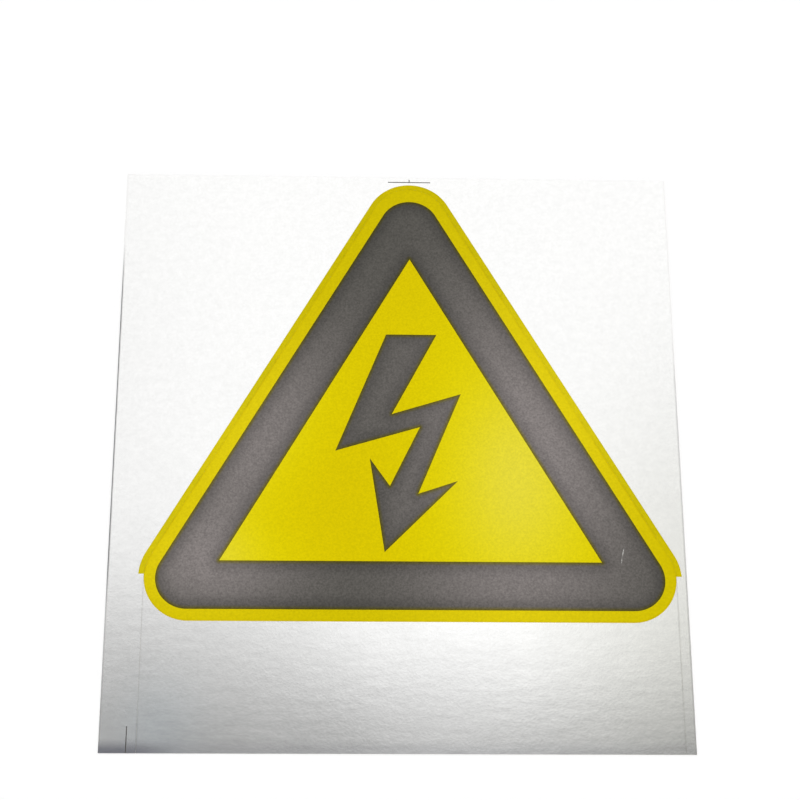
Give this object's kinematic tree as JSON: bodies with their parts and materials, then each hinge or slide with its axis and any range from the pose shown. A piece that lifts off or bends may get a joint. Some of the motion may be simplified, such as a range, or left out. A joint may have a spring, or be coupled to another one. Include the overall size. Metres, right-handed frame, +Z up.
{
  "type": "high voltage warning sign",
  "caption": "Flat yellow warning triangle with a black band and lightning flash on matt silver film, still in its margin on the backing sheet, with a bare caption panel below.",
  "frame": {"origin": "centre of the sheet, on the back face of the backing sheet", "axes": "+X across the sheet to the right of someone reading the sign, +Y from the sheet's foot towards the triangle's apex, +Z up out of the printed face"},
  "size_m": [0.1826, 0.1962, 0.0003],
  "materials": {
    "liner_paper": "matt siliconed backing paper",
    "silver_margin": "matt silver metallised film",
    "silver_film": "matt silver metallised film",
    "yellow_ink": "satin yellow ink",
    "yellow_bleed_ink": "satin yellow ink",
    "black_ink": "satin black ink",
    "flash_ink": "satin black ink",
    "mark_ink": "matt black ink"
  },
  "bodies": {
    "root": {"release_liner": "liner_paper", "margin_film": "silver_margin", "label_film": "silver_film", "yellow_field": "yellow_ink", "yellow_bleed": "yellow_bleed_ink", "black_band": "black_ink", "lightning_flash": "flash_ink", "top_centre_mark": "mark_ink", "foot_mark": "mark_ink"}
  },
  "joints": []
}
